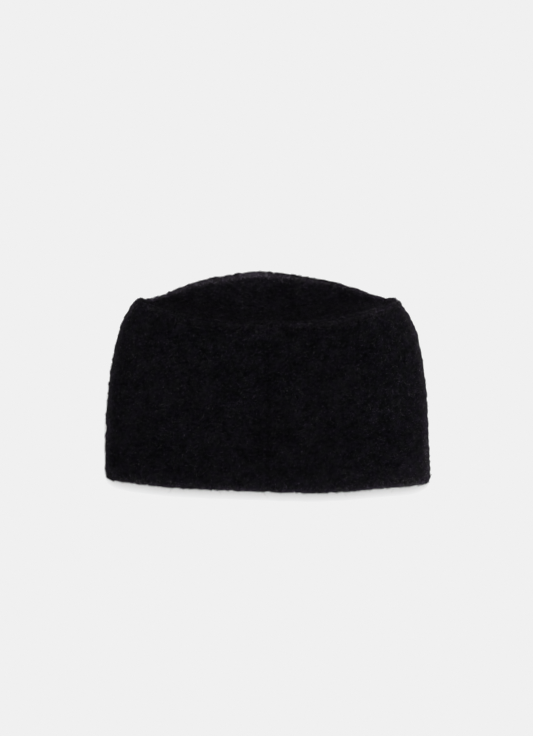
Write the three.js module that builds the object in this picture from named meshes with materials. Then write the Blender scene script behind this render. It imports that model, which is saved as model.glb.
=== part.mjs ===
// A wool hat: a deep felted-knit side band closed at one end by a narrow oval crown piece.
// The hat lies on its back on a flat surface, as it does when it is put down empty: the band's
// two layers lie over each other, its sides are soft folds, and the crown end stands partly open.
// The band is one cloth, modelled as two nodes that part along the side folds.
// Millimetres. X runs across the hat, Y from the open hem to the crown, Z up from the surface.

import * as THREE from 'three';

// The cloth
const WALL = 3.2; // through the felted knit
const HALF_WALL = WALL / 2;
const WOOL_BLACK = 0x131115;
const CROWN_BLACK = 0x121014;

// The seam that joins crown and band: both edges turn up into one round ridge
const RIDGE_RISE = 1.3;
const RIDGE_REACH = 3.4;
const SEAM_GAP = 0.3;
const FOLD_GAP = 0.3; // between the band's two nodes

// The band's own closing seam, pressed in down the middle of its upper layer
const CENTRE_SEAM = { x: 0.7, depth: 1.1, reach: 1.7, fadeFrom: 0.84, fadeTo: 0.94 };

// The hem's corners are rounded off where the band folds
const HEM_CORNER = { left: 3.0, right: 0.8, closeness: 90, reach: 0.05 };

// How each layer bows between its side folds: 0 is a plain parabola, more is fuller at the sides
const FRONT_BOW = { hem: 0.1, rim: 0.5 };
const BACK_BOW = { hem: 0.2, rim: -0.6 };
const FOLD_ROUNDNESS = 3;

// The crown piece sinks between its seams; the higher the fall, the flatter it leaves the seam
const CROWN_DISH = 9;
const CROWN_DISH_FALL = 1.5;

// Sections across the band from hem to rim. share is the way up the band. left and right are the
// hat's reach to each side, skew tips the section in plan. Front is the upper layer and back the
// lower one, at the hat's middle: where they lie, and the part of the width that stays level.
const SECTIONS = [
  { share: 0.0, left: 134.4, right: 134.8, skew: -1.5, foldY: -81.2, foldZ: 6.2, frontY: -90.2,
    frontZ: 11.0, frontLevel: 0.88, backY: -60.0, backZ: HALF_WALL, backLevel: 0.88 },
  { share: 0.05, left: 134.8, right: 135.0, skew: -1.5, foldY: -73.0, foldZ: 6.8, frontY: -83.6,
    frontZ: 13.8, frontLevel: 0.86, backY: -52.2, backZ: HALF_WALL, backLevel: 0.86 },
  { share: 0.15, left: 134.6, right: 134.5, skew: -1.5, foldY: -56.8, foldZ: 8.0, frontY: -69.7,
    frontZ: 18.2, frontLevel: 0.78, backY: -36.6, backZ: HALF_WALL, backLevel: 0.82 },
  { share: 0.41, left: 132.7, right: 133.0, skew: -1.2, foldY: -16.8, foldZ: 11.0, frontY: -33.9,
    frontZ: 31.0, frontLevel: 0.55, backY: 4.0, backZ: HALF_WALL, backLevel: 0.74 },
  { share: 0.58, left: 129.7, right: 130.4, skew: -1.0, foldY: 9.8, foldZ: 13.5, frontY: -10.6,
    frontZ: 39.0, frontLevel: 0.4, backY: 30.5, backZ: HALF_WALL, backLevel: 0.7 },
  { share: 0.75, left: 124.5, right: 125.8, skew: -0.8, foldY: 36.2, foldZ: 17.0, frontY: 12.6,
    frontZ: 46.6, frontLevel: 0.25, backY: 57.0, backZ: HALF_WALL, backLevel: 0.64 },
  { share: 0.85, left: 119.6, right: 120.4, skew: -0.6, foldY: 50.4, foldZ: 19.8, frontY: 26.2,
    frontZ: 51.0, frontLevel: 0.15, backY: 72.8, backZ: HALF_WALL, backLevel: 0.58 },
  { share: 0.93, left: 113.6, right: 113.8, skew: -0.4, foldY: 60.4, foldZ: 22.8, frontY: 37.2,
    frontZ: 54.2, frontLevel: 0.05, backY: 84.6, backZ: 3.4, backLevel: 0.45 },
  { share: 0.97, left: 110.0, right: 110.2, skew: -0.3, foldY: 64.0, foldZ: 24.6, frontY: 42.6,
    frontZ: 55.6, frontLevel: 0.0, backY: 90.3, backZ: 7.4, backLevel: 0.35 },
  { share: 1.0, left: 106.6, right: 106.4, skew: -0.2, foldY: 65.8, foldZ: 26.0, frontY: 46.4,
    frontZ: 56.4, frontLevel: 0.0, backY: 88.6, backZ: 13.0, backLevel: 0.3 },
];

// Places along the band and crown where the cloth is given points
const OUTSIDE_SHARES = [
  0.987, 0.972, 0.95, 0.92, 0.88, 0.82, 0.74, 0.65, 0.56, 0.47, 0.38, 0.29, 0.2, 0.12, 0.06, 0.02,
];
const INSIDE_SHARES = [0.02, 0.07, 0.16, 0.28, 0.41, 0.54, 0.66, 0.77, 0.86, 0.92, 0.96];
const HEM_EDGE_TURNS = [30, 90, 150];
const CROWN_OUTSIDE_INSETS = [2.0, 4.4];
const CROWN_INSIDE_INSETS = [4.6];
const CROWN_OUTSIDE_SHARES = [0.8, 0.6, 0.4, 0.2];
const CROWN_INSIDE_SHARES = [0.75, 0.5, 0.25];
const AROUND = 80;
const CENTRE_SEAM_TURNS = [-2.2, -1.0, 1.0, 2.2];
const NUDGE = 1e-4; // the small step that a direction is measured over

const radians = THREE.MathUtils.degToRad;
const mix = THREE.MathUtils.lerp;

// Turns around the hat: 0 at the right fold, a quarter at the front, a half at the left fold.
function turnsAround() {
  const turns = [];
  for (let step = 0; step < AROUND; step += 1) turns.push((360 * step) / AROUND);
  for (const turn of CENTRE_SEAM_TURNS) turns.push(90 + turn);
  return turns.sort((first, second) => first - second).map(radians);
}

// Slopes for a smooth line through one column of SECTIONS that never overshoots its rows.
function columnSlopes(column) {
  const rises = SECTIONS.slice(1).map((row, index) => {
    const before = SECTIONS[index];
    return (row[column] - before[column]) / (row.share - before.share);
  });
  return SECTIONS.map((row, index) => {
    if (index === 0) return rises[0];
    if (index === rises.length) return rises[index - 1];
    const [before, after] = [rises[index - 1], rises[index]];
    return before * after <= 0 ? 0 : (2 * before * after) / (before + after);
  });
}

const COLUMNS = Object.keys(SECTIONS[0]).filter((name) => name !== 'share');
const SLOPES = Object.fromEntries(COLUMNS.map((name) => [name, columnSlopes(name)]));

// The section at any share of the way up the band.
function sectionAt(share) {
  let index = 0;
  while (index < SECTIONS.length - 2 && SECTIONS[index + 1].share < share) index += 1;
  const [low, high] = [SECTIONS[index], SECTIONS[index + 1]];
  const span = high.share - low.share;
  const t = (share - low.share) / span;
  const section = {};
  for (const name of COLUMNS) {
    const rise = high[name] - low[name];
    const start = SLOPES[name][index] * span;
    const end = SLOPES[name][index + 1] * span;
    const bend = 3 * rise - 2 * start - end + t * (start + end - 2 * rise);
    section[name] = low[name] + t * (start + t * bend);
  }
  return section;
}

// 1 over the level middle of a layer, falling to 0 at the folds in a round curve.
function arch(across, level) {
  const past = Math.max(0, (Math.abs(across) - level) / (1 - level));
  return Math.sqrt(Math.max(0, 1 - past ** FOLD_ROUNDNESS));
}

// The middle of the cloth in the band.
function bandPoint(share, turn) {
  const section = sectionAt(share);
  const across = Math.cos(turn);
  const isFront = Math.sin(turn) >= 0;
  const bowing = isFront ? FRONT_BOW : BACK_BOW;
  const bow = mix(bowing.hem, bowing.rim, share);
  const middleY = isFront ? section.frontY : section.backY;
  const middleZ = isFront ? section.frontZ : section.backZ;
  const level = isFront ? section.frontLevel : section.backLevel;
  const halfWidth = (section.left + section.right) / 2 - HALF_WALL;
  const belly = (1 - across ** 2) * (1 + bow * across ** 2);
  const cornerLift = across < 0 ? HEM_CORNER.left : HEM_CORNER.right;
  const nearness = Math.abs(across) ** HEM_CORNER.closeness * Math.exp(-share / HEM_CORNER.reach);
  return new THREE.Vector3(
    (section.right - section.left) / 2 + halfWidth * across,
    section.foldY + section.skew * across + (middleY - section.foldY) * belly + cornerLift * nearness,
    section.foldZ + (middleZ - section.foldZ) * arch(across, level),
  );
}

// The rim loop that the crown spans, and the flat that lies through its middle.
const rimPoint = (turn) => bandPoint(1, turn);
const NEAR_RIM = rimPoint(radians(90));
const FAR_RIM = rimPoint(radians(270));
const CROWN_MIDDLE = NEAR_RIM.clone().add(FAR_RIM).multiplyScalar(0.5);
const CROWN_FACING = new THREE.Vector3(1, 0, 0).cross(FAR_RIM.clone().sub(NEAR_RIM)).normalize();

// The middle of the cloth in the crown: reach is 0 at its centre and 1 at the rim.
function crownPoint(reach, turn) {
  const spoke = rimPoint(turn).sub(CROWN_MIDDLE);
  const height = spoke.dot(CROWN_FACING);
  spoke.addScaledVector(CROWN_FACING, -height);
  const sunk = height * reach ** 2 - CROWN_DISH * (1 - reach ** 2) ** CROWN_DISH_FALL;
  return CROWN_MIDDLE.clone().addScaledVector(spoke, reach).addScaledVector(CROWN_FACING, sunk);
}

// Directions of a sheet at one place: along it, and out of the hat.
function lieOf(sheet, place, turn, outFlip) {
  const step = place > 0.5 ? -NUDGE : NUDGE;
  const along = sheet(place + step, turn).sub(sheet(place, turn)).divideScalar(step).normalize();
  const round = sheet(place, turn + NUDGE).sub(sheet(place, turn - NUDGE)).normalize();
  const out = along.clone().cross(round).normalize().multiplyScalar(outFlip);
  return { along, out };
}
const bandLie = (share, turn) => lieOf(bandPoint, share, turn, 1);
const crownLie = (reach, turn) => lieOf(crownPoint, reach, turn, -1);

// The mitre where the two cloths meet at the rim, seen at one turn.
function mitreAt(turn) {
  const bandOut = bandLie(1, turn).out;
  const outward = bandOut.clone().add(crownLie(1, turn).out).normalize();
  const round = rimPoint(turn + NUDGE).sub(rimPoint(turn - NUDGE)).normalize();
  const onward = round.cross(outward).normalize();
  return { outward, onward, slant: HALF_WALL / bandOut.dot(outward) };
}

// A corner of the seam: owner is -1 on the band's edge and 1 on the crown's, and face is 1 at the
// top of the ridge and -1 inside the hat.
function seamCorner(turn, owner, face) {
  const { outward, onward, slant } = mitreAt(turn);
  const rise = face > 0 ? slant + RIDGE_RISE : -slant;
  return rimPoint(turn).addScaledVector(outward, rise).addScaledVector(onward, (owner * SEAM_GAP) / 2);
}

const ridgeAt = (distance) => RIDGE_RISE * Math.exp(-((distance / RIDGE_REACH) ** 2));

// How far the outside of the band stands off its plain surface.
function bandRelief(share, turn) {
  const place = bandPoint(share, turn);
  const ridge = ridgeAt(place.distanceTo(rimPoint(turn)));
  if (Math.sin(turn) < 0) return ridge;
  const { x, depth, reach, fadeFrom, fadeTo } = CENTRE_SEAM;
  const fade = 1 - THREE.MathUtils.smoothstep(share, fadeFrom, fadeTo);
  return ridge - depth * fade * Math.exp(-(((place.x - x) / reach) ** 2));
}

// The band's cut at one turn: down the outside, round the hem's edge, and up the inside.
function bandCut(turn) {
  const points = [seamCorner(turn, -1, 1)];
  for (const share of OUTSIDE_SHARES) {
    const lift = HALF_WALL + bandRelief(share, turn);
    points.push(bandPoint(share, turn).addScaledVector(bandLie(share, turn).out, lift));
  }
  const hem = bandLie(0, turn);
  for (const degrees of HEM_EDGE_TURNS) {
    const edge = bandPoint(0, turn).addScaledVector(hem.out, HALF_WALL * Math.cos(radians(degrees)));
    points.push(edge.addScaledVector(hem.along, -HALF_WALL * Math.sin(radians(degrees))));
  }
  for (const share of INSIDE_SHARES) {
    points.push(bandPoint(share, turn).addScaledVector(bandLie(share, turn).out, -HALF_WALL));
  }
  points.push(seamCorner(turn, -1, -1));
  return points;
}

// The crown's cut at one turn, from the centre of its outside to the centre of its inside.
function crownCut(turn) {
  const span = rimPoint(turn).distanceTo(CROWN_MIDDLE);
  const surfacePoint = (reach, side) => {
    const ridge = side > 0 ? ridgeAt((1 - reach) * span) : 0;
    const lift = side * (HALF_WALL + ridge);
    return crownPoint(reach, turn).addScaledVector(crownLie(reach, turn).out, lift);
  };
  const reachesFor = (insets, shares) => {
    const edge = insets.map((inset) => 1 - inset / span);
    const last = edge[edge.length - 1];
    return [...edge, ...shares.map((share) => share * last)];
  };
  const outside = reachesFor(CROWN_OUTSIDE_INSETS, CROWN_OUTSIDE_SHARES);
  const inside = reachesFor(CROWN_INSIDE_INSETS, CROWN_INSIDE_SHARES);
  return [
    ...outside.reverse().map((reach) => surfacePoint(reach, 1)),
    seamCorner(turn, 1, 1),
    seamCorner(turn, 1, -1),
    ...inside.map((reach) => surfacePoint(reach, -1)),
  ];
}

// Faces between cuts that stand side by side: all round the hat, or from the first to the last.
// Each cut is a loop, or a line with two ends.
function facesBetween(cuts, { roundHat, loopCuts }) {
  const count = cuts[0].length;
  const columns = roundHat ? cuts.length : cuts.length - 1;
  const rows = loopCuts ? count : count - 1;
  const faces = [];
  for (let column = 0; column < columns; column += 1) {
    const here = column * count;
    const next = ((column + 1) % cuts.length) * count;
    for (let row = 0; row < rows; row += 1) {
      const below = (row + 1) % count;
      faces.push(here + row, next + below, here + below, here + row, next + row, next + below);
    }
  }
  return faces;
}

// Faces that close a cut at a side fold. They look up (1) or down (-1).
function foldFaces(cut, firstPoint, looking) {
  const outline = cut.map(({ x, y }) => new THREE.Vector2(x, y));
  return THREE.ShapeUtils.triangulateShape(outline, []).flatMap(([a, b, c]) => {
    const area = outline[b].clone().sub(outline[a]).cross(outline[c].clone().sub(outline[a]));
    const corners = area * looking > 0 ? [a, b, c] : [a, c, b];
    return corners.map((corner) => firstPoint + corner);
  });
}

function wool(name, points, faces, color) {
  const geometry = new THREE.BufferGeometry().setFromPoints(points);
  geometry.setIndex(faces);
  geometry.computeVertexNormals();
  const material = new THREE.MeshStandardMaterial({ color, roughness: 1, metalness: 0 });
  const mesh = new THREE.Mesh(geometry, material);
  mesh.name = name;
  return mesh;
}

// One layer of the band, from the side fold at firstTurn to the other one, half a turn on. Its
// two folded ends look up or down at the other layer's, a small gap away.
function bandLayer(name, firstTurn, looking) {
  const lastTurn = firstTurn + Math.PI;
  const isBetween = (turn) => turn > firstTurn + NUDGE && turn < lastTurn - NUDGE;
  const foldCut = (turn) => bandCut(turn).map((point) => point.setZ(point.z - (looking * FOLD_GAP) / 2));
  const between = turnsAround().filter(isBetween).map(bandCut);
  const cuts = [foldCut(firstTurn), ...between, foldCut(lastTurn)];
  const lastCut = cuts[cuts.length - 1];
  const faces = [
    ...facesBetween(cuts, { roundHat: false, loopCuts: true }),
    ...foldFaces(cuts[0], 0, looking),
    ...foldFaces(lastCut, (cuts.length - 1) * lastCut.length, looking),
  ];
  return wool(name, cuts.flat(), faces, WOOL_BLACK);
}

function crownPiece() {
  const centre = CROWN_MIDDLE.clone().addScaledVector(CROWN_FACING, -CROWN_DISH);
  const poles = [1, -1].map((side) => centre.clone().addScaledVector(CROWN_FACING, side * HALF_WALL));
  const cuts = turnsAround().map(crownCut);
  const count = cuts[0].length;
  const points = [...cuts.flat(), ...poles];
  const [outsidePole, insidePole] = [points.length - 2, points.length - 1];
  const faces = facesBetween(cuts, { roundHat: true, loopCuts: false });
  for (let column = 0; column < cuts.length; column += 1) {
    const here = column * count;
    const next = ((column + 1) % cuts.length) * count;
    faces.push(outsidePole, next, here, here + count - 1, next + count - 1, insidePole);
  }
  return wool('crown', points, faces, CROWN_BLACK);
}

const hat = new THREE.Group();
hat.add(bandLayer('band_upper', 0, -1), bandLayer('band_lower', Math.PI, 1), crownPiece());

export default hat;
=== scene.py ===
import math

import bpy
import numpy as np
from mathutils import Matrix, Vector


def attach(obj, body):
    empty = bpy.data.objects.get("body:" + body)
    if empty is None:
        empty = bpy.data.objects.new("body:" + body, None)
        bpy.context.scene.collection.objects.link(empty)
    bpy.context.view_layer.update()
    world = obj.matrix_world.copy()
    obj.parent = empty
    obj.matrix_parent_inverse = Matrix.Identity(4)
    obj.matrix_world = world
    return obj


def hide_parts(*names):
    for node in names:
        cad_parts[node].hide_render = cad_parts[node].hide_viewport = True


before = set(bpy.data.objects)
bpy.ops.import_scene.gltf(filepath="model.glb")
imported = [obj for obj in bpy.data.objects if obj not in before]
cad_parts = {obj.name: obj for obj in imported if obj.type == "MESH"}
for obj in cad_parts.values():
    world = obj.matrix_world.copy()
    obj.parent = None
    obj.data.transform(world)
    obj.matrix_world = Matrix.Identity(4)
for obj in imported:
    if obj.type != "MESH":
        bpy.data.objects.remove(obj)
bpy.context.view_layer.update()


# Camera
# The hat is seen from straight above through a long lens, with its crown end at the picture's top.
CAMERA_LENS = 200.0
CAMERA_SENSOR = 36.0
CAMERA_PLACE = (-0.0005, 0.0117, 3.402)
CAMERA_REACH = 50.0

camera_data = bpy.data.cameras.new("camera")
camera_data.lens = CAMERA_LENS
camera_data.sensor_width = CAMERA_SENSOR
camera_data.clip_end = CAMERA_REACH
camera = bpy.data.objects.new("camera", camera_data)
camera.location = CAMERA_PLACE
bpy.context.collection.objects.link(camera)
bpy.context.scene.camera = camera


# Side band
# A tube of thick felted knit, folded flat at its two sides, open at the hem. It is cut from the
# knit, fulled until the stitches close, sewn up down the middle of its upper layer and brushed.
MM = 0.001
WALL = 3.2
HALF_WALL = WALL / 2
# The ridge along the crown seam, and the gap between the two edges that make it
RIDGE_RISE = 1.3
RIDGE_REACH = 3.4
SEAM_GAP = 0.1
# The band's closing seam: its place, its depth and width, and where up the band it runs out
SEAM_X = 0.7
SEAM_DEPTH = 0.9
SEAM_REACH = 2.3
SEAM_FADE = (0.84, 0.94)
# The hem's left and right corners are lifted a little, close to the fold and to the hem
HEM_CORNER_LIFT = (3.0, 0.8)
HEM_CORNER_CLOSENESS = 90
HEM_CORNER_REACH = 0.05
# How the upper layer (front) and the lower one (back) bow in plan, at the hem and at the rim
FRONT_BOW = (0.1, 0.5)
BACK_BOW = (0.2, -0.6)
FOLD_ROUNDNESS = 3
# How far the crown piece sinks at its centre, and how suddenly
CROWN_DISH = 9.0
CROWN_DISH_FALL = 1.5
# A step small enough to feel the slope of the cloth
NUDGE = 1e-4

# Sections across the band from hem to rim, in millimetres: how far up the band, the reach to the
# left and right, the tip in plan, the side folds' Y and Z, then Y, Z and level part of each layer.
SECTIONS = np.array([
    # share, left, right, skew, fold_y, fold_z, front_y, front_z, level, back_y, back_z, level
    [0.00, 134.4, 134.8, -1.5, -81.2, 6.2, -90.2, 11.0, 0.88, -60.0, 1.6, 0.88],
    [0.05, 134.8, 135.0, -1.5, -73.0, 6.8, -83.6, 13.8, 0.86, -52.2, 1.6, 0.86],
    [0.15, 134.6, 134.5, -1.5, -56.8, 8.0, -69.7, 18.2, 0.78, -36.6, 1.6, 0.82],
    [0.41, 132.7, 133.0, -1.2, -16.8, 11.0, -33.9, 31.0, 0.55, 4.0, 1.6, 0.74],
    [0.58, 129.7, 130.4, -1.0, 9.8, 13.5, -10.6, 39.0, 0.40, 30.5, 1.6, 0.70],
    [0.75, 124.5, 125.8, -0.8, 36.2, 17.0, 12.6, 46.6, 0.25, 57.0, 1.6, 0.64],
    [0.85, 119.6, 120.4, -0.6, 50.4, 19.8, 26.2, 51.0, 0.15, 72.8, 1.6, 0.58],
    [0.93, 113.6, 113.8, -0.4, 60.4, 22.8, 37.2, 54.2, 0.05, 84.6, 3.4, 0.45],
    [0.97, 110.0, 110.2, -0.3, 64.0, 24.6, 42.6, 55.6, 0.00, 90.3, 7.4, 0.35],
    [1.00, 106.6, 106.4, -0.2, 65.8, 26.0, 46.4, 56.4, 0.00, 88.6, 13.0, 0.30],
])
SHARES = SECTIONS[:, 0]


def column_slopes(table):
    """Slopes for a smooth line through each column that never overshoots its rows."""
    rises = np.diff(table, axis=0) / np.diff(SHARES)[:, None]
    before, after = rises[:-1], rises[1:]
    with np.errstate(divide="ignore", invalid="ignore"):
        inside = np.where(before * after <= 0, 0.0, 2 * before * after / (before + after))
    return np.vstack([rises[:1], inside, rises[-1:]])


SLOPES = column_slopes(SECTIONS)


def section_at(share):
    """Every column of SECTIONS at each share of the way up the band."""
    low = np.clip(np.searchsorted(SHARES, share) - 1, 0, len(SHARES) - 2)
    span = SHARES[low + 1] - SHARES[low]
    t = ((share - SHARES[low]) / span)[:, None]
    rise = SECTIONS[low + 1] - SECTIONS[low]
    start = SLOPES[low] * span[:, None]
    end = SLOPES[low + 1] * span[:, None]
    bend = 3 * rise - 2 * start - end + t * (start + end - 2 * rise)
    return (SECTIONS[low] + t * (start + t * bend)).T


def arch(across, level):
    """1 over the level middle of a layer, falling to 0 at the folds in a round curve."""
    past = np.maximum(0, (np.abs(across) - level) / (1 - level))
    return np.sqrt(np.maximum(0, 1 - past**FOLD_ROUNDNESS))


def band_point(share, turn):
    """The middle of the band's cloth: share from hem to rim, turn round the hat."""
    (_, left, right, skew, fold_y, fold_z, front_y, front_z, front_level,
     back_y, back_z, back_level) = section_at(share)
    across = np.cos(turn)
    is_front = np.sin(turn) >= 0
    bow_hem = np.where(is_front, FRONT_BOW[0], BACK_BOW[0])
    bow_rim = np.where(is_front, FRONT_BOW[1], BACK_BOW[1])
    bow = bow_hem + (bow_rim - bow_hem) * share
    middle_y = np.where(is_front, front_y, back_y)
    middle_z = np.where(is_front, front_z, back_z)
    level = np.where(is_front, front_level, back_level)
    belly = (1 - across**2) * (1 + bow * across**2)
    corner = np.where(across < 0, HEM_CORNER_LIFT[0], HEM_CORNER_LIFT[1])
    corner = corner * np.abs(across) ** HEM_CORNER_CLOSENESS * np.exp(-share / HEM_CORNER_REACH)
    x = (right - left) / 2 + ((left + right) / 2 - HALF_WALL) * across
    y = fold_y + skew * across + (middle_y - fold_y) * belly + corner
    z = fold_z + (middle_z - fold_z) * arch(across, level)
    return np.stack([x, y, z], axis=-1)


def unit(vectors):
    return vectors / np.linalg.norm(vectors, axis=-1, keepdims=True)


def rim_point(turn):
    return band_point(np.ones_like(turn), turn)


quarter_turns = np.radians([90.0, 270.0])
near_rim, far_rim = rim_point(quarter_turns)
crown_middle = (near_rim + far_rim) / 2
crown_facing = unit(np.cross([1.0, 0.0, 0.0], far_rim - near_rim))


def crown_point(reach, turn):
    """The middle of the crown's cloth: reach is 0 at its centre and 1 at the rim."""
    spoke = rim_point(turn) - crown_middle
    height = spoke @ crown_facing
    spoke = spoke - height[:, None] * crown_facing
    sunk = height * reach**2 - CROWN_DISH * (1 - reach**2) ** CROWN_DISH_FALL
    return crown_middle + spoke * reach[:, None] + sunk[:, None] * crown_facing


def lie_of(cloth, place, turn, out_sign):
    """Directions of the cloth at each place: along it, and out of the hat."""
    step = np.where(place > 0.5, -NUDGE, NUDGE)
    along = unit((cloth(place + step, turn) - cloth(place, turn)) / step[:, None])
    around = unit(cloth(place, turn + NUDGE) - cloth(place, turn - NUDGE))
    return along, out_sign * unit(np.cross(along, around))


def seam_corner(turn, owner, face):
    """A corner of the crown seam: owner -1 is the band's edge and 1 the crown's."""
    ones = np.ones_like(turn)
    band_out = lie_of(band_point, ones, turn, 1)[1]
    outward = unit(band_out + lie_of(crown_point, ones, turn, -1)[1])
    around = unit(rim_point(turn + NUDGE) - rim_point(turn - NUDGE))
    onward = unit(np.cross(around, outward))
    slant = HALF_WALL / np.sum(band_out * outward, axis=-1, keepdims=True)
    rise = slant + RIDGE_RISE if face > 0 else -slant
    return rim_point(turn) + outward * rise + onward * (owner * SEAM_GAP / 2)


# The block of space round the hat that holds its lumps, in millimetres
LUMPS_START = np.array([-150.0, -110.0, -10.0])
LUMPS_SPAN = (300.0, 220.0, 80.0)


class Lumps:
    """Soft lumps of one size that fill the space round the hat, from -1 to 1, the same each run."""

    def __init__(self, size, seed):
        self.size = size
        cells = [int(reach / size) + 4 for reach in LUMPS_SPAN]
        self.values = np.random.default_rng(seed).uniform(-1, 1, cells)

    def at(self, points):
        spots = (points - LUMPS_START) / self.size
        cell = np.floor(spots).astype(int)
        t = spots - cell
        t = t * t * (3 - 2 * t)
        total = np.zeros(len(points))
        for corner in range(8):
            pick = np.array([corner & 1, (corner >> 1) & 1, corner >> 2])
            weight = np.prod(np.where(pick, t, 1 - t), axis=1)
            x, y, z = (cell + pick).T
            total += weight * self.values[x, y, z]
        return total


# Relief of the felted surface: the size of its lumps, how far each kind stands up, and its seed
FELT_RELIEF = [(13.0, 0.40, 11), (6.0, 0.26, 12), (3.1, 0.20, 13), (1.9, 0.16, 14)]
INSIDE_RELIEF_SHARE = 0.5
felt_lumps = [(Lumps(size, seed), height) for size, height, seed in FELT_RELIEF]


def felt_relief(points):
    return sum(height * lumps.at(points) for lumps, height in felt_lumps)


# At the folds, the hem's edge and the crown seam the felt stands up in small tufts
TUFT_SIZE = 2.1
TUFT_SEED = 15
TUFT_RISE = 0.95
NAP_ROOM = 0.45
TUFT_FOLD_SHARE = 0.75
TUFT_HEM_SHARE = 0.4
TUFT_FOLD_REACH = 5.0
TUFT_HEM_REACH = 4.0
TUFT_SEAM_REACH = 7.0
HALF_WIDTH = 135.0
BAND_DEPTH = 147.0
tuft_lumps = Lumps(TUFT_SIZE, TUFT_SEED)


def tufts(points, share, turn, from_rim):
    """How far the tufts stand up at the cloth's edges, less the room that the nap takes there."""
    from_fold = (1 - np.abs(np.cos(turn))) * HALF_WIDTH
    fold = np.exp(-((from_fold / TUFT_FOLD_REACH) ** 2))
    hem = np.exp(-((share * BAND_DEPTH / TUFT_HEM_REACH) ** 2))
    seam = np.exp(-((from_rim / TUFT_SEAM_REACH) ** 2))
    closeness = np.minimum(TUFT_FOLD_SHARE * fold + TUFT_HEM_SHARE * hem + seam, 1)
    return TUFT_RISE * closeness * tuft_lumps.at(points) - NAP_ROOM * np.maximum(fold, hem)


def ridge_at(distance):
    return RIDGE_RISE * np.exp(-((distance / RIDGE_REACH) ** 2))


def smoothstep(value, start, end):
    t = np.clip((value - start) / (end - start), 0, 1)
    return t * t * (3 - 2 * t)


# The knit's own ribs still show as fine lines that run down to the hem's edge
HEM_RIB_WIDTH = 2.6
HEM_RIB_RISE = 0.16
HEM_RIB_REACH = 9.0
HEM_RIB_WANDER = 1.5
wander_lumps = felt_lumps[1][0]
# The end of the closing seam stands up in a small flat lump where it is caught under the crown
SEAM_END_LUMP = dict(x=-1.5, y=39.5, reach_x=9.0, reach_y=4.0, rise=0.9)


def seam_end_at(plain):
    """1 on the lump at the end of the closing seam, 0 away from it."""
    lump = SEAM_END_LUMP
    across = np.exp(-(((plain[:, 0] - lump["x"]) / lump["reach_x"]) ** 4))
    return across * np.exp(-(((plain[:, 1] - lump["y"]) / lump["reach_y"]) ** 2))


def band_relief(share, turn, plain):
    """How far the outside of the band stands off its plain surface."""
    from_rim = np.linalg.norm(plain - rim_point(turn), axis=-1)
    ridge = ridge_at(from_rim) + tufts(plain, share, turn, from_rim)
    is_front = np.sin(turn) >= 0
    fade = 1 - smoothstep(share, *SEAM_FADE)
    groove = SEAM_DEPTH * fade * np.exp(-(((plain[:, 0] - SEAM_X) / SEAM_REACH) ** 2))
    end = seam_end_at(plain) * SEAM_END_LUMP["rise"]
    rib_turn = 2 * math.pi * plain[:, 0] / HEM_RIB_WIDTH + HEM_RIB_WANDER * wander_lumps.at(plain)
    ribs = HEM_RIB_RISE * np.sin(rib_turn) * np.exp(-share * BAND_DEPTH / HEM_RIB_REACH)
    return ridge + np.where(is_front, end - groove, 0.0) + ribs + felt_relief(plain)


MIDDLE_SHARE = 0.45
FINE_STEPS = 7200


def spread_turns(count):
    """Turns that stand the same distance apart round the middle of the band."""
    fine = np.linspace(0, 2 * math.pi, FINE_STEPS + 1)
    loop = band_point(np.full_like(fine, MIDDLE_SHARE), fine)
    length = np.concatenate([[0], np.cumsum(np.linalg.norm(np.diff(loop, axis=0), axis=1))])
    return np.interp(np.arange(count) * length[-1] / count, length, fine)


def new_mesh(name, points, corners, starts, shades=None):
    mesh = bpy.data.meshes.new(name)
    mesh.vertices.add(len(points))
    mesh.vertices.foreach_set("co", points.astype(np.float32).ravel())
    mesh.loops.add(len(corners))
    mesh.loops.foreach_set("vertex_index", corners.astype(np.int32))
    mesh.polygons.add(len(starts))
    mesh.polygons.foreach_set("loop_start", starts.astype(np.int32))
    mesh.polygons.foreach_set("use_smooth", np.ones(len(starts), dtype=bool))
    if shades is not None:
        layer = mesh.attributes.new("shade", "FLOAT", "POINT")
        layer.data.foreach_set("value", shades.astype(np.float32))
    mesh.update(calc_edges=True)
    mesh.validate()
    piece = bpy.data.objects.new(name, mesh)
    bpy.context.collection.objects.link(piece)
    return piece


def cloth_mesh(name, grid, shade, is_loop, poles=None):
    """A mesh over cuts (columns) that stand side by side round the hat, smooth-shaded."""
    columns, rows = grid.shape[:2]
    points, shades = grid.reshape(-1, 3), shade.ravel()
    column = np.arange(columns)[:, None]
    row = np.arange(rows if is_loop else rows - 1)[None, :]
    here, over = column * rows, ((column + 1) % columns) * rows
    below = (row + 1) % rows
    quads = np.stack(np.broadcast_arrays(here + row, over + row, over + below, here + below), -1)
    quads = quads.reshape(-1, 4)
    triangles = np.zeros((0, 3), dtype=int)
    if poles is not None:
        first, last = len(points), len(points) + 1
        points = np.vstack([points, poles])
        shades = np.concatenate([shades, [shade[:, 0].mean(), shade[:, -1].mean()]])
        here, over = here[:, 0], over[:, 0]
        fan = [np.stack([np.full(columns, first), over, here], -1)]
        fan.append(np.stack([here + rows - 1, over + rows - 1, np.full(columns, last)], -1))
        triangles = np.vstack(fan)
    corners = np.concatenate([quads.ravel(), triangles.ravel()])
    starts = np.arange(len(quads)) * 4
    starts = np.concatenate([starts, len(quads) * 4 + np.arange(len(triangles)) * 3])
    return new_mesh(name, points * MM, corners, starts, shades)


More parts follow.
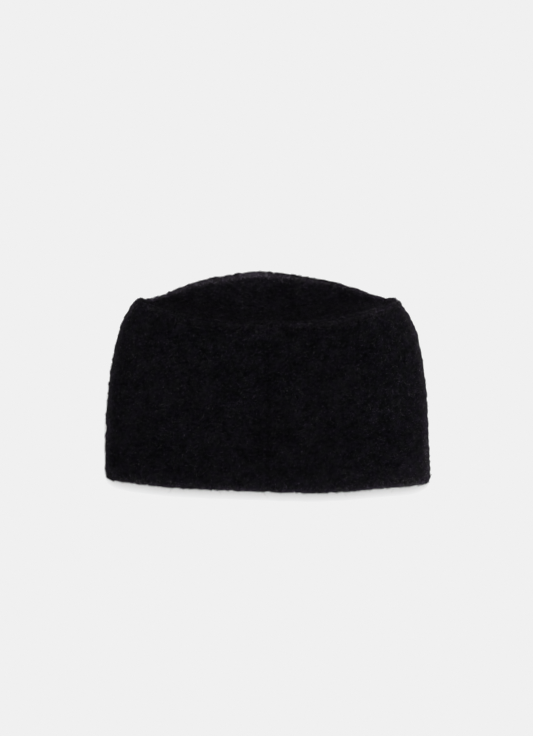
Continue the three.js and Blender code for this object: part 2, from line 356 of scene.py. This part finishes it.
# How light the wool looks, place by place. Painted light: lighter at the hem, on the folds, along
# the crown seam, at the crown end's corners, on the lump at the closing seam's end and towards the
# right side, where light and sheen fall on it. Painted shade: darker in the closing seam's groove.
# Cloudy patches of the felt's own uneven tone lie all over.
# Each LIGHTER is how much lighter, and its REACH is how far from the place, in millimetres.
# Painted sheen: the hem, its very edge and a wider band towards the right are painted lighter where
# the fibres catch the light
HEM_LIGHTER = 1.0
HEM_LIGHTER_REACH = 6.0
HEM_GLOW = 0.32
HEM_GLOW_REACH = 18.0
HEM_GLOW_FROM = (-80.0, 20.0)
EDGE_LIGHTER = 1.6
EDGE_LIGHTER_REACH = 1.6
# Painted sheen: the side folds are painted lighter where fibres catch the light at the edge
FOLD_LIGHTER = (2.3, 2.4)
FOLD_LIGHTER_REACH = (3.3, 3.5)
FOLD_LIGHTER_FROM_HEM = (0.0, 12.0)
FOLD_LIGHTER_FADE = (-0.2, 0.05)
# Painted light: the right side is painted lighter, as the light falls from the right
RIGHT_LIGHTER = 0.5
RIGHT_FROM = (60.0, 132.0)
CORNERS = [dict(x=-104.0, y=70.0, lighter=0.4), dict(x=86.0, y=62.0, lighter=0.6)]
CORNER_REACH = 15.0
# Painted shade: the closing seam's groove is painted darker
GROOVE_DARKER = 0.28
GROOVE_REACH = 2.8
# Painted highlight: how much lighter the cloth is painted along the near side of the crown seam,
# and how wide
NEAR_LIGHT = np.array([
    # x, line, reach
    [-105.0, 0.50, 4.0],
    [-80.0, 0.40, 4.0],
    [-55.0, 0.20, 2.5],
    [-20.0, 0.12, 1.8],
    [8.0, 0.45, 1.8],
    [40.0, 0.50, 1.8],
    [70.0, 0.50, 3.0],
    [105.0, 0.60, 4.0],
])
# Painted highlight: the raised lump at the closing seam's end is painted lighter
SEAM_END_LIGHTER = 0.35
# The cloudy patches: the size of each kind, how strong it is, and its seed
PATCHES = [(17.0, 0.13, 21), (6.5, 0.07, 22), (2.4, 0.19, 23), (1.3, 0.52, 24)]
patch_lumps = [(Lumps(size, seed), depth) for size, depth, seed in PATCHES]


def patchiness(points):
    return np.exp(sum(depth * lumps.at(points) for lumps, depth in patch_lumps))


def near_light(x, turn, from_rim):
    """Painted highlight: the near side of the crown seam is painted a little lighter."""
    line = np.interp(x, NEAR_LIGHT[:, 0], NEAR_LIGHT[:, 1]) * (np.sin(turn) >= 0)
    reach = np.interp(x, NEAR_LIGHT[:, 0], NEAR_LIGHT[:, 2])
    return line * np.exp(-((from_rim / reach) ** 2))


def corner_light(plain):
    """The two corners of the crown end catch more light."""
    light = np.ones(len(plain))
    for corner in CORNERS:
        away = (plain[:, 0] - corner["x"]) ** 2 + (plain[:, 1] - corner["y"]) ** 2
        light += corner["lighter"] * np.exp(-away / CORNER_REACH**2)
    return light


def band_shade(share, turn):
    plain = band_point(share, turn)
    x, is_front = plain[:, 0], np.sin(turn) >= 0
    depth = share * BAND_DEPTH
    hem = 1 + HEM_LIGHTER * np.exp(-((depth / HEM_LIGHTER_REACH) ** 2))
    hem = hem + EDGE_LIGHTER * np.exp(-((depth / EDGE_LIGHTER_REACH) ** 2))
    glow = HEM_GLOW * smoothstep(x, *HEM_GLOW_FROM)
    hem = hem + glow * np.exp(-((depth / HEM_GLOW_REACH) ** 2))
    from_fold = (1 - np.abs(np.cos(turn))) * HALF_WIDTH
    fold = np.where(x < 0, FOLD_LIGHTER[0], FOLD_LIGHTER[1])
    fold = fold * smoothstep(np.sin(turn), *FOLD_LIGHTER_FADE)
    fold = fold * smoothstep(depth, *FOLD_LIGHTER_FROM_HEM)
    fold_reach = np.where(x < 0, FOLD_LIGHTER_REACH[0], FOLD_LIGHTER_REACH[1])
    fold = 1 + fold * np.exp(-((from_fold / fold_reach) ** 2))
    right = 1 + RIGHT_LIGHTER * smoothstep(x, *RIGHT_FROM)
    fade = 1 - smoothstep(share, *SEAM_FADE)
    groove = np.where(is_front, fade, 0) * np.exp(-(((x - SEAM_X) / GROOVE_REACH) ** 2))
    groove = 1 - GROOVE_DARKER * groove
    seam = near_light(x, turn, np.linalg.norm(plain - rim_point(turn), axis=-1))
    end = 1 + SEAM_END_LIGHTER * np.where(is_front, seam_end_at(plain), 0)
    return patchiness(plain) * corner_light(plain) * (hem * fold * right * groove * end + seam)


BAND_COLUMNS = 452
BAND_OUTSIDE_ROWS = 118
BAND_INSIDE_ROWS = 46
OUTSIDE_TOP_SHARE = 0.991
INSIDE_SHARES = (0.012, 0.978)
# The hem's edge is a half turn from the outside to the inside, in degrees
HEM_EDGE_TURNS = [12, 34, 56, 78, 102, 124, 146, 168]
band_turns = spread_turns(BAND_COLUMNS)
outside_shares = np.linspace(OUTSIDE_TOP_SHARE, 0.0, BAND_OUTSIDE_ROWS)
inside_shares = np.linspace(*INSIDE_SHARES, BAND_INSIDE_ROWS)


def band_surface(share, turn, side):
    """Points of the band's outside (side 1) or inside (side -1)."""
    plain = band_point(share, turn)
    out = lie_of(band_point, share, turn, 1)[1]
    if side > 0:
        relief = band_relief(share, turn, plain)
    else:
        relief = INSIDE_RELIEF_SHARE * felt_relief(plain)
    points = plain + out * (side * HALF_WALL + relief)[:, None]
    points[:, 2] = np.maximum(points[:, 2], 0.0)
    return points


# How far the crown end's outline wanders in and out along its length, in millimetres
FAR_EDGE = np.array([
    # x, out
    [-107.0, 0.6],
    [-103.0, 0.2],
    [-98.0, -1.6],
    [-93.0, -1.6],
    [-87.0, -0.6],
    [-80.0, 0.0],
    [-64.0, 1.3],
    [-47.0, 1.0],
    [-38.0, 0.1],
    [-22.0, -0.4],
    [-6.0, -0.5],
    [10.0, -1.4],
    [27.0, -1.5],
    [42.0, -1.0],
    [52.0, -0.1],
    [62.0, 0.7],
    [77.0, 0.8],
    [85.0, 0.1],
    [93.0, -0.8],
    [99.0, -0.7],
    [103.0, 1.0],
    [106.0, 1.0],
])
FAR_EDGE_REACH = 14.0
# The same for the hem
HEM_EDGE = np.array([
    # x, out
    [-125.0, -0.4],
    [-65.0, -0.2],
    [-50.0, -0.9],
    [-8.0, -0.9],
    [4.0, -0.3],
    [22.0, -0.3],
    [32.0, 0.5],
    [68.0, 0.5],
    [82.0, -0.1],
    [125.0, 0.1],
])
HEM_EDGE_FROM = (-88.0, -68.0)
# And for the two side folds near the hem
SIDE_EDGE = np.array([
    # y, out on the left, out on the right
    [-92.0, 0.9, 0.8],
    [-83.0, 1.4, 0.9],
    [-77.0, -0.5, 0.9],
    [-69.0, 0.3, 1.0],
    [-63.0, 0.4, 0.1],
    [-50.0, -0.3, 0.4],
    [-43.0, -0.3, 0.2],
    [-23.0, 0.5, -0.2],
    [-5.0, 0.0, 0.0],
])
SIDE_EDGE_REACH = 14.0
RIM_STEPS = 400
rim_turns = np.linspace(math.pi, 2 * math.pi, RIM_STEPS)
far_rim_line = rim_point(rim_turns)


def wander(points):
    """Moves the cloth near the outline in or out with it: crown end, hem, then side folds."""
    x, y = points[..., 0], points[..., 1]
    from_edge = np.interp(x, far_rim_line[:, 0], far_rim_line[:, 1]) - y
    moved = points.copy()
    closeness = 1 - smoothstep(from_edge, 0.0, FAR_EDGE_REACH)
    moved[..., 1] += closeness * np.interp(x, FAR_EDGE[:, 0], FAR_EDGE[:, 1])
    closeness = 1 - smoothstep(y, *HEM_EDGE_FROM)
    moved[..., 1] -= closeness * np.interp(x, HEM_EDGE[:, 0], HEM_EDGE[:, 1])
    closeness = 1 - smoothstep(HALF_WIDTH - np.abs(x), 0.0, SIDE_EDGE_REACH)
    left = np.interp(y, SIDE_EDGE[:, 0], SIDE_EDGE[:, 1])
    right = np.interp(y, SIDE_EDGE[:, 0], SIDE_EDGE[:, 2])
    moved[..., 0] += closeness * np.where(x < 0, -left, right)
    return moved


def rows_of(surface, places, turns, *extra):
    """A grid of what surface gives, with a column for each turn and a row for each place."""
    turn = np.repeat(turns, len(places))
    place = np.tile(places, len(turns))
    values = surface(place, turn, *extra)
    return values.reshape(len(turns), len(places), *values.shape[1:])


def hem_edge(turns):
    """The hem's round edge, from the outside to the inside."""
    zero = np.zeros_like(turns)
    plain = band_point(zero, turns)
    along, out = lie_of(band_point, zero, turns, 1)
    relief = band_relief(zero, turns, plain)
    edge = []
    for degrees in HEM_EDGE_TURNS:
        tip = math.radians(degrees)
        reach = (HALF_WALL + relief * (1 - (degrees / 180) ** 2))[:, None]
        edge.append(plain + reach * (out * math.cos(tip) - along * math.sin(tip)))
    edge = np.stack(edge, axis=1)
    edge[:, :, 2] = np.maximum(edge[:, :, 2], 0.0)
    return edge


def seam_side(turns, owner, face):
    """The edge of the crown seam, with the felt's relief on its outside."""
    corner = seam_corner(turns, owner, face)
    if face > 0:
        rim = rim_point(turns)
        relief = felt_relief(rim) + tufts(rim, np.ones_like(turns), turns, np.zeros_like(turns))
        corner = corner + unit(corner - rim) * relief[:, None]
    return corner[:, None, :]


band_outside = np.concatenate([
    seam_side(band_turns, -1, 1),
    rows_of(band_surface, outside_shares, band_turns, 1),
], axis=1)
band_grid = wander(np.concatenate([
    band_outside,
    hem_edge(band_turns),
    rows_of(band_surface, inside_shares, band_turns, -1),
    seam_side(band_turns, -1, -1),
], axis=1))
band_outside = band_grid[:, :band_outside.shape[1]]
band_rows = [1.0, *outside_shares, *[0.0] * len(HEM_EDGE_TURNS), *inside_shares, 1.0]
band_shades = rows_of(band_shade, np.array(band_rows), band_turns)
band = cloth_mesh("side_band", band_grid, band_shades, is_loop=True)


# The black dye has taken unevenly: greyish, then neutral, then violet in turn
HUES = [(0.4, (0.955, 1.02, 0.90)), (0.5, (0.99, 1.0, 1.0)), (0.6, (1.035, 0.98, 1.11))]
# Where painted light makes the wool lighter, it is also painted a little warmer
PAINTED_LIGHT_WARMTH = [(0.38, (1.0, 1.0, 1.0)), (0.8, (1.08, 1.0, 0.97))]
LIGHTEST_SHADE = 4.0
# The felt's colour runs from dark to light with clouds and fluff; each noise is its scale, detail
# and roughness, and the clouds' scale goes with the piece
CLOUDS_DETAIL = (4.0, 0.6)
CLOUDS_SHARE = 0.4
FLUFF = (420.0, 5.0, 0.7)
DARK_BELOW = 0.38
LIGHT_ABOVE = 0.64
DYE = (140.0, 2.0, 0.6)
GRAIN = (1500.0, 6.0, 0.75)
GRAIN_STRENGTH = 0.9
# The faint bloom of fibres too fine to be modelled
BLOOM = 0.006
BLOOM_ROUGHNESS = 0.5
BLOOM_TINT = (1.0, 0.93, 0.98, 1.0)


def wool_material(name, dark, light, clouds_scale, grain_height, height_share=1.0):
    """Felted wool: uneven dye, matted grain and a faint bloom from the fibres that stand up."""
    material = bpy.data.materials.new(name)
    material.use_nodes = True
    nodes, links = material.node_tree.nodes, material.node_tree.links
    shader = nodes["Principled BSDF"]
    place = nodes.new("ShaderNodeTexCoord")
    pattern = nodes.new("ShaderNodeVectorMath")
    pattern.operation = "MULTIPLY"
    pattern.inputs[1].default_value = (1, 1, height_share)
    links.new(place.outputs["Object"], pattern.inputs[0])
    shade = nodes.new("ShaderNodeAttribute")
    shade.attribute_name = "shade"

    def noise(scale, detail, roughness):
        texture = nodes.new("ShaderNodeTexNoise")
        texture.inputs["Scale"].default_value = scale
        texture.inputs["Detail"].default_value = detail
        texture.inputs["Roughness"].default_value = roughness
        links.new(pattern.outputs[0], texture.inputs["Vector"])
        return texture.outputs["Fac"]

    def arithmetic(operation, first, second):
        node = nodes.new("ShaderNodeMath")
        node.operation = operation
        links.new(first, node.inputs[0])
        if isinstance(second, float):
            node.inputs[1].default_value = second
        else:
            links.new(second, node.inputs[1])
        return node.outputs[0]

    def blend_of(stops, amount):
        """The colours of the stops, blended by amount."""
        ramp = nodes.new("ShaderNodeValToRGB")
        for position, colour in stops:
            stop = ramp.color_ramp.elements.new(position)
            stop.color = (*colour, 1)
        ramp.color_ramp.elements.remove(ramp.color_ramp.elements[0])
        ramp.color_ramp.elements.remove(ramp.color_ramp.elements[-1])
        links.new(amount, ramp.inputs["Fac"])
        return ramp.outputs["Color"]

    def product_of(first, second):
        node = nodes.new("ShaderNodeVectorMath")
        node.operation = "MULTIPLY"
        links.new(first, node.inputs[0])
        links.new(second, node.inputs[1])
        return node.outputs[0]

    clouds = arithmetic("MULTIPLY", noise(clouds_scale, *CLOUDS_DETAIL), CLOUDS_SHARE)
    fluff = arithmetic("MULTIPLY", noise(*FLUFF), 1 - CLOUDS_SHARE)
    felt = blend_of([(DARK_BELOW, dark), (LIGHT_ABOVE, light)], arithmetic("ADD", clouds, fluff))
    dyed = product_of(felt, blend_of(HUES, noise(*DYE)))
    # Painted light and shade: the shade attribute scales the colour, and warms it where it is
    # painted lighter
    painted_light_warmth = blend_of(PAINTED_LIGHT_WARMTH, arithmetic("DIVIDE", shade.outputs["Fac"], LIGHTEST_SHADE))
    shaded = nodes.new("ShaderNodeVectorMath")
    shaded.operation = "SCALE"
    links.new(product_of(dyed, painted_light_warmth), shaded.inputs[0])
    links.new(shade.outputs["Fac"], shaded.inputs["Scale"])
    links.new(shaded.outputs[0], shader.inputs["Base Color"])
    bump = nodes.new("ShaderNodeBump")
    bump.inputs["Strength"].default_value = GRAIN_STRENGTH
    bump.inputs["Distance"].default_value = grain_height
    links.new(noise(*GRAIN), bump.inputs["Height"])
    links.new(bump.outputs["Normal"], shader.inputs["Normal"])
    shader.inputs["Roughness"].default_value = 1.0
    shader.inputs["Specular IOR Level"].default_value = 0.0
    shader.inputs["Sheen Weight"].default_value = BLOOM
    shader.inputs["Sheen Roughness"].default_value = BLOOM_ROUGHNESS
    shader.inputs["Sheen Tint"].default_value = BLOOM_TINT
    return material


BAND_DARK = (0.00126, 0.00120, 0.00154)
BAND_LIGHT = (0.0037, 0.0035, 0.0045)
BAND_CLOUDS_SCALE = 90.0
FELT_GRAIN_HEIGHT = 0.0005
band_wool = wool_material("band_wool", BAND_DARK, BAND_LIGHT, BAND_CLOUDS_SCALE, FELT_GRAIN_HEIGHT)
band.data.materials.append(band_wool)
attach(band, "root")
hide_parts("band_upper", "band_lower")


# Crown piece
# A narrow oval of the same felt that closes the far end. It sinks a little between its seams, and
# its edge is turned up and sewn against the band's, so the two make one round ridge.
CROWN_OUTSIDE_ROWS = 50
CROWN_INSIDE_ROWS = 16
# How far from the seam its outside and inside rows stop, and from the centre they start
CROWN_OUTSIDE_INSET = 1.3
CROWN_INSIDE_INSET = 3.4
CROWN_OUTSIDE_START = 0.02
CROWN_INSIDE_START = 0.05
# Painted shade: the crown is painted darker just behind the near seam's ridge, and a little darker
# in its sunk middle
BEHIND_RIDGE_DARKER = 0.1
BEHIND_RIDGE_REACH = 18.0
CROWN_MIDDLE_DARKER = 0.03
CROWN_MIDDLE_REACH = 34.0
# How much lighter the crown is beside its far seam, as a narrow line and a wider glow
FAR_LIGHT = np.array([
    # x, line, reach of the line
    [-105.0, 2.9, 2.4],
    [-85.0, 3.6, 5.4],
    [-65.0, 3.6, 4.6],
    [-24.0, 3.5, 2.3],
    [-12.0, 4.0, 1.6],
    [5.0, 3.7, 1.5],
    [22.0, 2.3, 1.6],
    [40.0, 1.9, 1.6],
    [105.0, 2.3, 2.2],
])
FAR_GLOW = 0.58
FAR_GLOW_REACH = 9.0
# The crown was stretched up its steep side as it was shaped, and its felt's pattern with it
CROWN_HEIGHT_SHARE = 0.4
CROWN_CLOUDS_SCALE = 80.0


def crown_reach(share, turn, inset):
    """Turns a share of the way from the crown's centre to its seam into a reach."""
    span = np.linalg.norm(rim_point(turn) - crown_middle, axis=-1)
    return share * (1 - inset / span), span


def crown_surface(share, turn, side):
    """Points of the crown's outside (side 1) or inside (side -1); share 1 is beside the seam."""
    inset = CROWN_OUTSIDE_INSET if side > 0 else CROWN_INSIDE_INSET
    reach, span = crown_reach(share, turn, inset)
    plain = crown_point(reach, turn)
    out = lie_of(crown_point, reach, turn, -1)[1]
    relief = felt_relief(plain)
    if side > 0:
        from_rim = (1 - reach) * span
        relief = relief + ridge_at(from_rim) + tufts(plain, np.ones_like(turn), turn, from_rim)
    return plain + out * (side * HALF_WALL + relief)[:, None]


def far_light(x, turn, from_rim):
    """The crown's far side turns up to the light, in a line along the seam and a glow beside it."""
    line = np.interp(x, FAR_LIGHT[:, 0], FAR_LIGHT[:, 1])
    reach = np.interp(x, FAR_LIGHT[:, 0], FAR_LIGHT[:, 2])
    light = line * np.exp(-((from_rim / reach) ** 2))
    light = light + FAR_GLOW * np.exp(-((from_rim / FAR_GLOW_REACH) ** 2))
    return light * (np.sin(turn) < 0)


def crown_shade(share, turn):
    plain = crown_point(share, turn)
    near_seam = plain[:, 1] - rim_point(np.where(np.sin(turn) >= 0, turn, 2 * math.pi - turn))[:, 1]
    behind = 1 - BEHIND_RIDGE_DARKER * np.exp(-((near_seam / BEHIND_RIDGE_REACH) ** 2))
    from_rim = np.linalg.norm(plain - rim_point(turn), axis=-1)
    x = plain[:, 0]
    middle = 1 - CROWN_MIDDLE_DARKER * np.exp(-((x / CROWN_MIDDLE_REACH) ** 2))
    seam = near_light(x, turn, from_rim) + far_light(x, turn, from_rim)
    stretched = plain * [1, 1, CROWN_HEIGHT_SHARE]
    return patchiness(stretched) * corner_light(plain) * (behind * middle + seam)


outside_reaches = np.linspace(CROWN_OUTSIDE_START, 1.0, CROWN_OUTSIDE_ROWS)
inside_reaches = np.linspace(1.0, CROWN_INSIDE_START, CROWN_INSIDE_ROWS)
crown_outside = np.concatenate([
    rows_of(crown_surface, outside_reaches, band_turns, 1),
    seam_side(band_turns, 1, 1),
], axis=1)
crown_grid = wander(np.concatenate([
    crown_outside,
    seam_side(band_turns, 1, -1),
    rows_of(crown_surface, inside_reaches, band_turns, -1),
], axis=1))
crown_outside = crown_grid[:, :crown_outside.shape[1]]
crown_rows = np.array([*outside_reaches, 1.0, 1.0, *inside_reaches])
crown_shades = rows_of(crown_shade, crown_rows, band_turns)
crown_poles = np.array([crown_grid[:, 0].mean(axis=0), crown_grid[:, -1].mean(axis=0)])
crown = cloth_mesh("crown_piece", crown_grid, crown_shades, is_loop=False, poles=crown_poles)
crown_wool = wool_material(
    "crown_wool", BAND_DARK, BAND_LIGHT, CROWN_CLOUDS_SCALE, FELT_GRAIN_HEIGHT, CROWN_HEIGHT_SHARE)
crown.data.materials.append(crown_wool)
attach(crown, "root")
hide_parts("crown")


# Nap
# Short wool fibres that brushing has pulled out of the felt. Most lie nearly flat on the cloth,
# and at the folds, the seams and the hem's edge some stand up and blur the outline.
FIBRES = {
    # piece: how many; length, rise and width in millimetres; corners on the way to the tip
    "nap_upper_layer": (64000, 1.5, 0.35, 0.19, 1),
    "nap_lower_layer": (38000, 2.0, 0.30, 0.19, 1),
    "nap_crown": (34000, 1.5, 0.40, 0.19, 1),
    "nap_edges": (26000, 1.9, 1.20, 0.10, 2),
    "nap_hem": (20000, 2.0, 0.40, 0.12, 1),
    "nap_mouth": (12000, 2.0, 0.40, 0.20, 1),
    "loose_hairs_band": (3400, 6.5, 0.50, 0.12, 7),
    "loose_hairs_crown": (900, 5.5, 0.50, 0.12, 7),
}
# How much the fibres differ in length, and the longest against the usual
FIBRE_LENGTHS = 0.35
LONGEST_FIBRE = 1.8
# The least and the most that they rise against the usual, and that they droop, which takes from it
FIBRE_RISES = (0.3, 1.7)
FIBRE_DROOPS = (0.2, 1.5)
# How much of the rise is lost again towards the tip, and how far they curl sideways, in radians
FIBRE_FALL = 0.6
FIBRE_CURL = 0.7
# How deep they are rooted, and how much of their width is lost on the way to the tip
FIBRE_ROOT = 0.1
FIBRE_TAPER = 0.4
# How much they differ in lightness, and the lightest against the usual
FIBRE_VARIETY = 1.0
FIBRE_BRIGHTEST = 4.5
# On the crown they lie along its slope and are drawn out with it, but no more than on a slope
# whose outward direction points up by this share
LEAST_LEVEL = 0.35
NAP_SEED = 41
NAP_DARK = (0.0037, 0.0035, 0.0045)
NAP_LIGHT = (0.0092, 0.0086, 0.0110)
NAP_CLOUDS_SCALE = 300.0
NAP_GRAIN_HEIGHT = 0.0001
nap_wool = wool_material("nap_wool", NAP_DARK, NAP_LIGHT, NAP_CLOUDS_SCALE, NAP_GRAIN_HEIGHT)
rng = np.random.default_rng(NAP_SEED)


def grid_spots(grid, shades, count, weight, is_stretched):
    """Random places on a grid of surface points, with the outward direction and shade there.

    A stretched piece has fewer of them where it is steep.
    """
    columns, rows = grid.shape[:2]
    sides = np.roll(grid, -1, axis=0)[:, :-1] - grid[:, :-1]
    facings = np.cross(sides, grid[:, 1:] - grid[:, :-1])
    odds = np.linalg.norm(facings, axis=-1)
    if is_stretched:
        odds = np.sqrt(odds * np.abs(facings[..., 2]))
    if weight is not None:
        odds = odds * weight[:, :-1]
    cell = rng.choice(columns * (rows - 1), count, p=odds.ravel() / odds.sum())
    column = cell // (rows - 1) + rng.uniform(0, 1, count)
    row = cell % (rows - 1) + rng.uniform(0, 1, count)
    c, r = np.floor(column).astype(int) % columns, np.floor(row).astype(int)
    s, t = (column % 1)[:, None], (row % 1)[:, None]
    next_c = (c + 1) % columns
    near = grid[c, r] * (1 - s) + grid[next_c, r] * s
    far = grid[c, r + 1] * (1 - s) + grid[next_c, r + 1] * s
    out = unit(np.cross(grid[next_c, r] - grid[c, r], far - near))
    return near * (1 - t) + far * t, out, shades[c, r]


def fibre_faces(bends):
    """The triangles of one fibre: a ribbon with bends corners on each side, and a pointed tip."""
    faces = []
    for step in range(bends):
        a = 2 * step
        faces += [[a, a + 1, a + 3], [a, a + 3, a + 2]]
    faces.append([2 * bends, 2 * bends + 1, 2 * bends + 2])
    return np.array(faces)


def add_fibres(name, grid, shades, weight=None, heading=None, spread=0.0, is_stretched=False):
    """Fibres as thin curved ribbons, all in one mesh, on the surface of a grid."""
    count, length, rise, width, bends = FIBRES[name]
    spots, out, shades = grid_spots(grid, shades, count, weight, is_stretched)
    drawn = rng.normal(size=(count, 3))
    across = unit(np.cross(out, drawn))
    if heading is not None:
        flat = unit(heading - np.sum(heading * out, axis=1, keepdims=True) * out)
        angle = rng.normal(0, spread, count)[:, None]
        across = flat * np.cos(angle) + np.cross(out, flat) * np.sin(angle)
    size = length * np.minimum(rng.lognormal(0, FIBRE_LENGTHS, (count, 1)), LONGEST_FIBRE)
    if is_stretched:
        level = unit(drawn * [1, 1, 0])
        climb = np.sum(level * out, axis=1) / np.maximum(out[:, 2], LEAST_LEVEL)
        laid = level - climb[:, None] * [0, 0, 1]
        size = size * np.linalg.norm(laid, axis=1, keepdims=True)
        across = unit(laid)
    lift = rise * rng.uniform(*FIBRE_RISES, (count, 1))
    curl = rng.normal(0, FIBRE_CURL, (count, 1))
    sway = rng.normal(0, FIBRE_CURL, (count, 1))
    droop = rng.uniform(*FIBRE_DROOPS, (count, 1))
    bright = rng.lognormal(-FIBRE_VARIETY**2 / 2, FIBRE_VARIETY, count)
    # Each fibre takes the cloth's shade there, painted light and shade included
    bright = np.minimum(bright, FIBRE_BRIGHTEST) * shades
    middle = spots - out * FIBRE_ROOT
    part = 1 / (bends + 1)
    ends = []
    for step in range(bends + 1):
        t = step * part
        angle = curl * t * 2 + sway * math.sin(2 * math.pi * t)
        onward = across * np.cos(angle) + np.cross(out, across) * np.sin(angle)
        half = np.cross(out, onward) * (width / 2) * (1 - FIBRE_TAPER * t)
        ends += [middle - half, middle + half]
        height = lift * (2 - droop) * math.sin(math.pi * (t + part / 2))
        fall = 1 if t < 0.5 else -FIBRE_FALL
        middle = middle + (onward * size + out * height * fall) * part
    ends.append(middle)
    points = np.stack(ends, axis=1).reshape(-1, 3)
    points[:, 2] = np.maximum(points[:, 2], 0.0)
    faces = fibre_faces(bends)
    corners = (np.arange(count)[:, None, None] * len(ends) + faces).ravel()
    starts = np.arange(count * len(faces)) * 3
    piece = new_mesh(name, points * MM, corners, starts, np.repeat(bright, len(ends)))
    piece.data.materials.append(nap_wool)
    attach(piece, "root")


outside_rows = band_outside.shape[1]
outside_shades = band_shades[:, :outside_rows]
crown_from_rim = crown_outside[:, ::-1]
crown_top_shades = crown_shades[:, :crown_outside.shape[1]][:, ::-1]
is_upper = np.sin(band_turns) >= 0
upper_weight = np.repeat(np.where(is_upper, 1.0, 0.0)[:, None], outside_rows, axis=1)
add_fibres("nap_upper_layer", band_outside, outside_shades, upper_weight)
add_fibres("nap_lower_layer", band_outside, outside_shades, 1 - upper_weight)
add_fibres("nap_crown", crown_from_rim, crown_top_shades, is_stretched=True)

# The standing fibres are thickest on the side folds, the hem's edge and the crown seam, in clumps
ELSEWHERE_WEIGHT = 1e-6
FOLD_NARROWNESS = 0.006
SEAM_WEIGHT = 3.0
HEM_WEIGHT = 2.0
EDGE_ROWS = 5
CLUMPING = 1.4
edge_weight = np.full(band_outside.shape[:2], ELSEWHERE_WEIGHT)
edge_weight += np.exp(-(((np.abs(np.cos(band_turns)) - 1) / FOLD_NARROWNESS) ** 2))[:, None]
edge_weight[:, :EDGE_ROWS] += SEAM_WEIGHT
edge_weight[:, -EDGE_ROWS:] += HEM_WEIGHT
clumps = np.exp(CLUMPING * tuft_lumps.at(band_outside.reshape(-1, 3)))
edge_weight *= clumps.reshape(edge_weight.shape)
add_fibres("nap_edges", band_outside, outside_shades, edge_weight)

# On the hem's round edge they are brushed outwards, away from the crown
OFF_THE_HEM = np.array([0.0, -1.0, 0.0])
HEM_SPREAD = 0.5
hem_start = len(outside_shares) - 1
hem_end = hem_start + 2 + len(HEM_EDGE_TURNS)
hem_grid, hem_shades = band_grid[:, hem_start:hem_end], band_shades[:, hem_start:hem_end]
add_fibres("nap_hem", hem_grid, hem_shades, heading=OFF_THE_HEM, spread=HEM_SPREAD)

# Inside the mouth the cloth is only lightly brushed
MOUTH_ROWS = 16
mouth_start = outside_rows + len(HEM_EDGE_TURNS)
mouth = slice(mouth_start, mouth_start + MOUTH_ROWS)
add_fibres("nap_mouth", band_grid[:, mouth], band_shades[:, mouth])

# Longer loose hairs curl over the surface here and there and catch the light
add_fibres("loose_hairs_band", band_outside, outside_shades)
add_fibres("loose_hairs_crown", crown_from_rim, crown_top_shades)


# Floor
# A plain pale tabletop that runs out past every view.
FLOOR_REACH = 30.0
FLOOR_DROP = 0.0001
FLOOR_PALENESS = 0.86
FLOOR_ROUGHNESS = 0.9
FLOOR_GLOSS = 0.1
floor_corners = [(-1, -1), (1, -1), (1, 1), (-1, 1)]
floor_points = np.array([(x * FLOOR_REACH, y * FLOOR_REACH, -FLOOR_DROP) for x, y in floor_corners])
floor = new_mesh("floor", floor_points, np.arange(4), np.array([0]))
floor_paint = bpy.data.materials.new("floor_paint")
floor_paint.use_nodes = True
floor_shader = floor_paint.node_tree.nodes["Principled BSDF"]
floor_shader.inputs["Base Color"].default_value = (*[FLOOR_PALENESS] * 3, 1)
floor_shader.inputs["Roughness"].default_value = FLOOR_ROUGHNESS
floor_shader.inputs["Specular IOR Level"].default_value = FLOOR_GLOSS
floor.data.materials.append(floor_paint)


# Light
# An even glow from the whole room, and a soft light from beyond the crown end. Whites are held at
# one pale grey, as in a well-lit studio picture.
KEY_PLACE = (0.23, 1.97, 2.3)
KEY_SIZE = 1.0
KEY_POWER = 60.0
ROOM_GLOW = 1.28
GROUND_LEVEL = 0.871

key_data = bpy.data.lights.new("key_light", "AREA")
key_data.shape = "DISK"
key_data.size = KEY_SIZE
key_data.energy = KEY_POWER
key_light = bpy.data.objects.new("key_light", key_data)
key_light.location = KEY_PLACE
key_light.rotation_euler = Vector(KEY_PLACE).to_track_quat("Z", "Y").to_euler()
bpy.context.collection.objects.link(key_light)

world = bpy.data.worlds.new("room")
world.use_nodes = True
world.node_tree.nodes["Background"].inputs["Color"].default_value = (1, 1, 1, 1)
world.node_tree.nodes["Background"].inputs["Strength"].default_value = ROOM_GLOW
bpy.context.scene.world = world

view = bpy.context.scene.view_settings
view.view_transform = "Standard"
view.look = "None"
view.exposure = 0.0
view.use_curve_mapping = True
curve = view.curve_mapping
curve.use_clip = False
curve.extend = "HORIZONTAL"
tone = curve.curves[3]
tone.points[1].location = (GROUND_LEVEL, GROUND_LEVEL)
tone.points[0].handle_type = "VECTOR"
tone.points[1].handle_type = "VECTOR"
curve.update()
